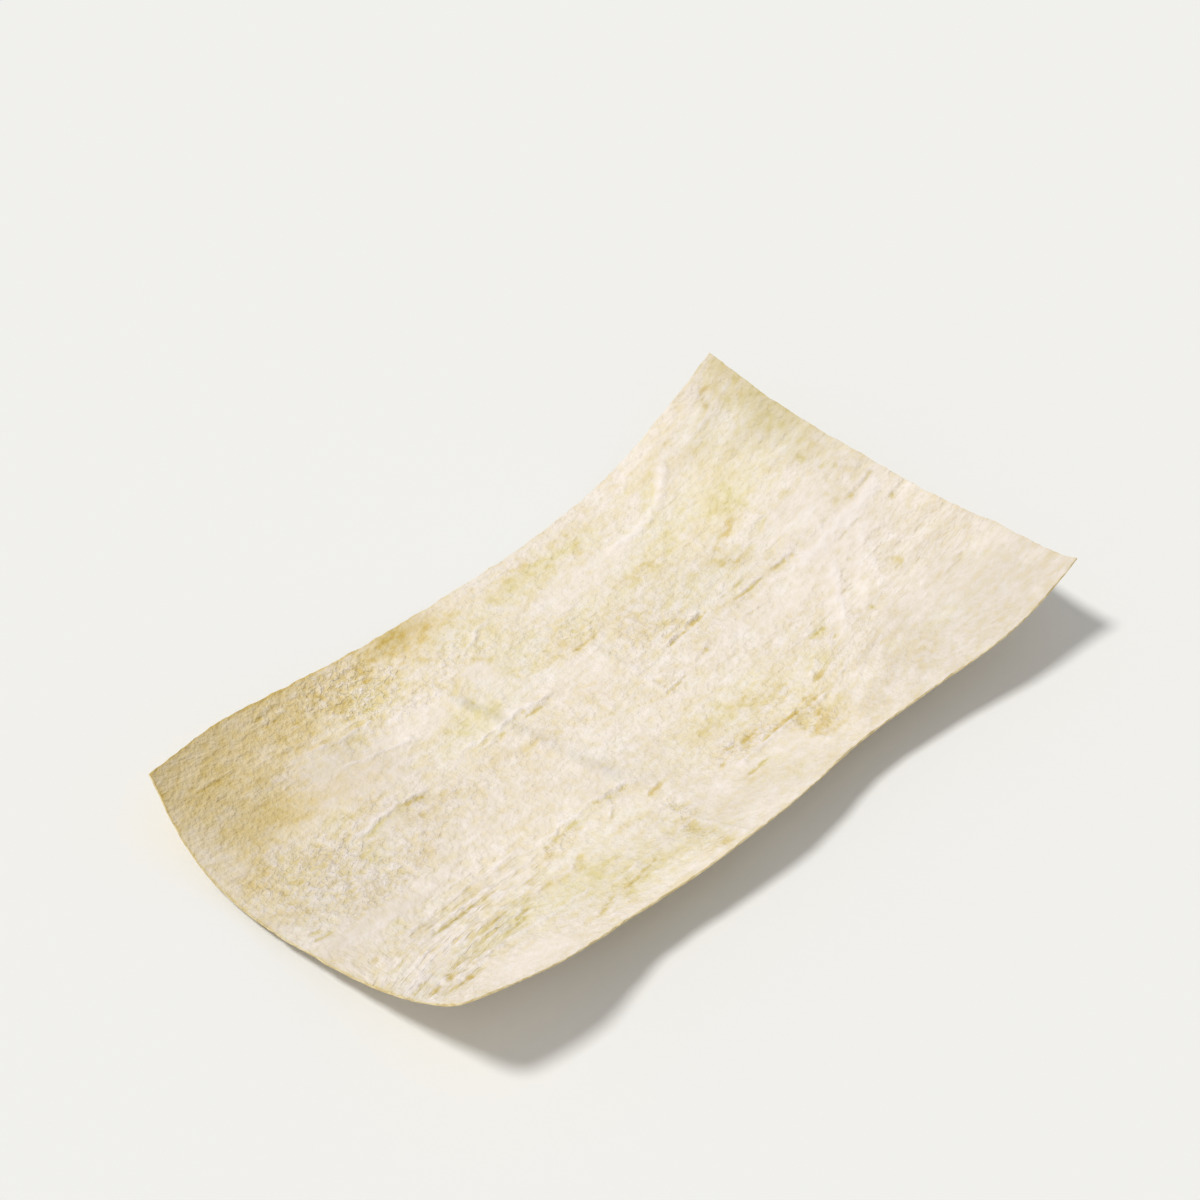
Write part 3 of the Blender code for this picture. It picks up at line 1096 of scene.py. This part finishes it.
class Nodes:
    """Adds shader nodes to a material. Inputs are given as values or as other nodes' outputs."""

    def __init__(self, name):
        self.material = bpy.data.materials.new(name)
        self.material.use_nodes = True
        self.tree = self.material.node_tree
        self.shader = self.tree.nodes["Principled BSDF"]

    def set_inputs(self, node, inputs):
        for key, value in inputs.items():
            if isinstance(value, bpy.types.NodeSocket):
                self.tree.links.new(value, node.inputs[key])
            else:
                node.inputs[key].default_value = value

    def add(self, kind, inputs, output=0, **settings):
        node = self.tree.nodes.new(kind)
        for key, value in settings.items():
            setattr(node, key, value)
        self.set_inputs(node, inputs)
        return node.outputs[output]

    def attribute(self, name, output="Fac"):
        return self.add("ShaderNodeAttribute", {}, output, attribute_name=name)

    def maths(self, operation, first, second):
        return self.add("ShaderNodeMath", {0: first, 1: second}, operation=operation)

    def plus(self, first, second):
        return self.maths("ADD", first, second)

    def minus(self, first, second):
        return self.maths("SUBTRACT", first, second)

    def times(self, first, second):
        return self.maths("MULTIPLY", first, second)

    def spread(self, value, low, high, to_low=0.0, to_high=1.0):
        """A value from low to high, spread smoothly over another range."""
        inputs = {"Value": value, "From Min": low, "From Max": high, "To Min": to_low, "To Max": to_high}
        return self.add("ShaderNodeMapRange", inputs, interpolation_type="SMOOTHSTEP")

    def noise(self, place, along, across, detail, roughness):
        """Noise with grains of a length and width in millimetres, 0 to 1."""
        scale = (1 / (along * MM), 1 / (across * MM), 1.0)
        stretched = self.add("ShaderNodeVectorMath", {0: place, 1: scale}, operation="MULTIPLY")
        inputs = {"Vector": stretched, "Scale": 1.0, "Detail": detail, "Roughness": roughness}
        return self.add("ShaderNodeTexNoise", inputs, "Fac", noise_dimensions="2D")

    def tones(self, value, colours):
        """A value from 0 to 1 as a colour on an even scale of colours."""
        node = self.tree.nodes.new("ShaderNodeValToRGB")
        stops = node.color_ramp.elements
        while len(stops) < len(colours):
            stops.new(1.0)
        for number, colour in enumerate(colours):
            stops[number].position = number / (len(colours) - 1)
            stops[number].color = linear(colour)
        self.set_inputs(node, {"Fac": value})
        return node.outputs["Color"]

    def mixed(self, share, first, second):
        """Two values, by the share of the second."""
        return self.add("ShaderNodeMix", {0: share, 2: first, 3: second})

    def blend(self, share, first, second):
        """Two colours, by the share of the second."""
        node = self.tree.nodes.new("ShaderNodeMix")
        node.data_type = "RGBA"
        self.set_inputs(node, {0: share, 6: first, 7: second})
        return node.outputs[2]


def kelp_material():
    """Pale dried skin, rose white where it stands up, and straw, gold and ochre where it lies low."""
    make = Nodes("dried_kelp_skin")
    place = make.attribute(PLACE, "Vector")
    stain = make.attribute("stain")
    crackle = make.attribute("crackle")
    threads = make.spread(make.attribute("fibrous"), 0.0, 1.0, LEAST_THREADS, MOST_THREADS)
    streaks = make.noise(place, *STREAK_GRAIN)
    fine = make.mixed(threads, make.noise(place, *FLECK_GRAIN), streaks)

    off_net = make.maths("ABSOLUTE", make.minus(make.noise(place, *CELL_GRAIN), 0.5), 0.0)
    net = make.times(make.spread(off_net, 0.0, NET_REACH, 1.0, 0.0), crackle)
    cells = make.minus(make.times(crackle, CELL_SHARE), net)
    flecked = make.spread(make.plus(fine, make.times(stain, STAIN_SPREAD)), FLECK_FROM, FLECK_TO)
    fleck_depth = make.spread(stain, 0.0, 1.0, FLECK_LEAST, FLECK_MOST)

    clouds = make.noise(place, *CLOUD_GRAIN)
    texture = make.plus(make.spread(clouds, *CLOUD_RANGE), make.spread(fine, *FINE_RANGE))
    texture = make.times(texture, make.times(make.attribute("speckle"), YELLOW_GRAIN))
    depth = make.plus(make.plus(make.attribute("yellow"), texture), make.times(flecked, fleck_depth))
    depth = make.plus(depth, make.times(cells, YELLOW_CELLS))
    olive = make.tones(depth, OLIVE_TONES)
    warm = make.tones(depth, WARM_TONES)
    colour = make.blend(make.attribute("warm"), olive, warm)
    # Darken toward black: partly duller skin, partly painted shade on the curled ends and along the
    # creases
    colour = make.blend(make.times(make.attribute("dull"), DULL_AND_SHADE_SHARE), colour, SHADE_AND_DULL_BLACK)

    low = make.mixed(threads, make.noise(place, *GRIT_GRAIN), streaks)
    low = make.times(low, make.times(make.attribute("grit"), -GRIT_HEIGHT))
    height = make.plus(low, make.times(net, NET_HEIGHT))
    height = make.minus(height, make.times(flecked, FLECK_DEPTH))
    bump = make.add("ShaderNodeBump", {"Strength": 1.0, "Distance": MM, "Height": height}, "Normal")
    rough = make.spread(fine, *ROUGH_RANGE)
    make.set_inputs(make.shader, {"Base Color": colour, "Roughness": rough, "Normal": bump})
    make.set_inputs(make.shader, {"Specular IOR Level": SKIN_SPECULAR})
    return make.material


def rim_material():
    """The cut edge, where the light that runs through the sheet comes out golden."""
    make = Nodes("dried_kelp_rim")
    flecks = make.noise(make.attribute(PLACE, "Vector"), *RIM_GRAIN)
    colour = make.tones(make.spread(flecks, *RIM_TONE_RANGE), RIM_GLOW_TONES)
    rough = make.spread(flecks, *RIM_ROUGH_RANGE)
    make.set_inputs(make.shader, {"Base Color": colour, "Roughness": rough})
    return make.material


def make_sheet():
    """The whole sheet, placed so that its solid's box is where the frame has it."""
    u, v = cut_places()
    skin = skin_fields(u, v)
    base = curled(u, v, ripple(u, v) + folds(u, v))
    upper = base + face_normals(base) * (THICKNESS + skin_height(skin))[..., None]
    low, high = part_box(NODE)
    middle = (base.min(axis=(0, 1)) + base.max(axis=(0, 1))) / 2
    shift = np.array([(low.x + high.x) / 2 / MM - middle[0], (low.y + high.y) / 2 / MM - middle[1], 0])
    lower = base[::LOWER_STEP, ::LOWER_STEP]
    mesh = sheet_mesh((lower + shift) * MM, (upper + shift) * MM)
    for name, values in skin_marks(skin).items():
        store(mesh, name, values)
    store(mesh, PLACE, np.stack((u, skin.across, np.zeros_like(u)), axis=-1) * MM)
    sheet = bpy.data.objects.new("kelp_sheet_skin", mesh)
    bpy.context.scene.collection.objects.link(sheet)
    mesh.materials.append(kelp_material())
    mesh.materials.append(rim_material())
    mesh.shade_smooth()
    mesh.set_sharp_from_angle(angle=math.radians(SHARP_ANGLE))
    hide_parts(NODE)
    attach(sheet, "root")
    return shift


def make_floor():
    mesh = bpy.data.meshes.new("floor")
    half = FLOOR_SIZE / 2
    corners = [(-half, -half, 0), (half, -half, 0), (half, half, 0), (-half, half, 0)]
    mesh.from_pydata(corners, [], [(0, 1, 2, 3)])
    floor = bpy.data.objects.new("floor", mesh)
    floor.location.z = -FLOOR_DROP * MM
    bpy.context.scene.collection.objects.link(floor)
    paint = Nodes("floor_paint")
    paint.set_inputs(paint.shader, {"Base Color": linear(FLOOR_COLOUR), "Roughness": FLOOR_ROUGHNESS})
    paint.set_inputs(paint.shader, {"Specular IOR Level": FLOOR_SPECULAR})
    mesh.materials.append(paint.material)


def make_lights():
    sun = bpy.data.lights.new("window", "SUN")
    sun.energy = SUN_STRENGTH
    sun.angle = math.radians(SUN_SOFTNESS)
    lamp = bpy.data.objects.new("window", sun)
    turn = math.radians(SHEET_TURN)
    from_x, from_y, from_z = SUN_FROM
    toward = Vector((
        from_x * math.cos(turn) + from_y * math.sin(turn),
        from_y * math.cos(turn) - from_x * math.sin(turn),
        from_z,
    ))
    lamp.rotation_euler = toward.to_track_quat("Z", "Y").to_euler()
    bpy.context.scene.collection.objects.link(lamp)
    world = bpy.data.worlds.new("sky")
    world.use_nodes = True
    background = world.node_tree.nodes["Background"]
    background.inputs["Color"].default_value = SKY_COLOUR
    background.inputs["Strength"].default_value = SKY_STRENGTH
    bpy.context.scene.world = world


def make_camera(shift):
    """The photo's camera. The sheet lies turned and shifted from the middle of the photo's view."""
    turn = math.radians(SHEET_TURN)
    pitch = math.radians(CAMERA_PITCH)
    away = Vector((math.sin(turn), math.cos(turn), 0))
    right = Vector((math.cos(turn), -math.sin(turn), 0))
    aim = (-right * SHEET_SHIFT[0] - away * SHEET_SHIFT[1] + Vector(shift)) * MM
    back = Vector((0, 0, math.sin(pitch))) - away * math.cos(pitch)
    data = bpy.data.cameras.new("camera")
    data.sensor_width = SENSOR
    data.lens = SENSOR * FOCAL_PIXELS / PHOTO_SIDE
    data.clip_start = CLIP_START
    camera = bpy.data.objects.new("camera", data)
    camera.location = aim + back * FOCAL_PIXELS * PIXEL_SIZE * MM
    camera.rotation_euler = back.to_track_quat("Z", "Y").to_euler()
    bpy.context.scene.collection.objects.link(camera)
    bpy.context.scene.camera = camera


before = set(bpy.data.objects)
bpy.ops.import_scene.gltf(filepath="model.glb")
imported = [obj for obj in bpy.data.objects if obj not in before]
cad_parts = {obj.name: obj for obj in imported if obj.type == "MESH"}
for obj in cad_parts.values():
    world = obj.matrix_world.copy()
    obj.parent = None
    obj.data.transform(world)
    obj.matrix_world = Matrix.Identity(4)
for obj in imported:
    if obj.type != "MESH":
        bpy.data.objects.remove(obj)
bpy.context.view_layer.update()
bpy.context.scene.view_settings.view_transform = "Standard"
sheet_shift = make_sheet()
make_floor()
make_lights()
make_camera(sheet_shift)
